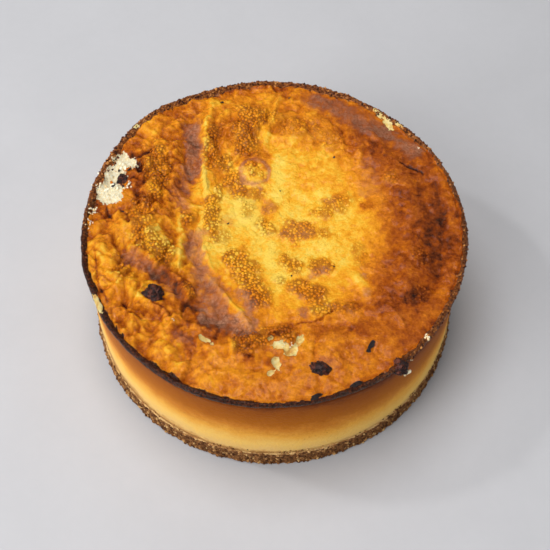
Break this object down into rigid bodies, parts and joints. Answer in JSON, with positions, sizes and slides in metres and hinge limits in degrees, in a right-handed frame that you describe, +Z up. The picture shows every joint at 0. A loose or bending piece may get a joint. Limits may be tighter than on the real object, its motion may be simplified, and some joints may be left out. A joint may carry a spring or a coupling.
{
  "type": "baked cheesecake",
  "caption": "Whole round baked cheesecake, unmoulded: crumb base, tall straight filling, browned blistered top with a dark raised rim and half-sunk raisins.",
  "frame": {"origin": "middle of the underside of the crumb base, on the table plane", "axes": "+Z up through the cake's middle, +X to the right seen from the front, -Y towards the front"},
  "size_m": [0.1992, 0.1996, 0.0731],
  "materials": {
    "crumb": "dry, grainy, brown",
    "filling": "browned and blistered on top, satin golden sides",
    "raisin": "wrinkled, nearly black, slightly shiny"
  },
  "bodies": {
    "root": {"crumb_base": "crumb", "cheese_filling": "filling", "raisin_left": "raisin", "raisin_front": "raisin", "raisin_rim": "raisin", "raisin_torn": "raisin"}
  },
  "joints": []
}
